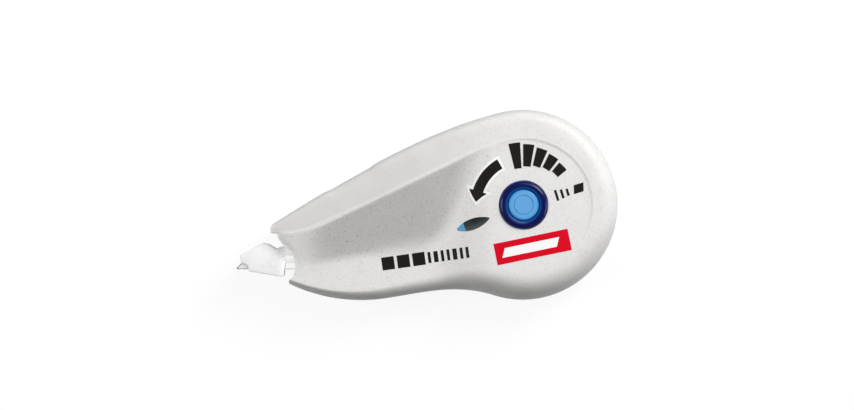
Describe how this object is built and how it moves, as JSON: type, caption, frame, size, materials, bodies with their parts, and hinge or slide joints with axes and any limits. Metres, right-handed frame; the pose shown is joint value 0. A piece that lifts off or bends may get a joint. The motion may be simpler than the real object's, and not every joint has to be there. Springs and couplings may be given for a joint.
{
  "type": "correction tape dispenser",
  "caption": "Hand-held correction tape dispenser: round-headed scooped case, geared winding reels, knob and narrow chisel applicator tip.",
  "frame": {"origin": "middle of the underside of the object's box, lying on its back shell", "axes": "+X from the tip towards the round head, +Y towards the finger rest, +Z out of the front face with the knob"},
  "size_m": [0.0802, 0.04, 0.0175],
  "materials": {
    "shell": "satin, fine fibre speckles",
    "drive_blue": "gloss, translucent blue",
    "cap_blue": "gloss",
    "reel_white": "satin",
    "fresh_tape": "matt, wound edges",
    "used_tape": "thin film",
    "tip_clear": "translucent white"
  },
  "bodies": {
    "case": {"case_front": "shell", "case_back": "shell", "applicator_tip": "tip_clear", "tape_run": "used_tape"},
    "drive": {"drive_gear": "drive_blue", "knob_cap": "cap_blue"},
    "supply": {"clutch_ring": "reel_white", "supply_core": "reel_white", "supply_tape_roll": "fresh_tape"},
    "take_up": {"take_up_reel": "reel_white", "take_up_flange": "reel_white", "used_tape_roll": "used_tape"}
  },
  "joints": [
    {"name": "drive_spin", "type": "hinge", "parent": "case", "child": "drive", "pos_m": [0.02015, 0.00004, 0.0085], "axis": [0, 0, 1], "continuous": true},
    {"name": "take_up_spin", "type": "hinge", "parent": "case", "child": "take_up", "pos_m": [-0.00125, -0.00356, 0.0085], "axis": [0, 0, 1], "continuous": true},
    {"name": "supply_slip", "type": "hinge", "parent": "drive", "child": "supply", "pos_m": [0.02015, 0.00004, 0.0085], "axis": [0, 0, 1], "continuous": true}
  ],
  "couplings": [
    {"joint": "take_up_spin", "follows": "drive_spin", "ratio": -2.5}
  ]
}
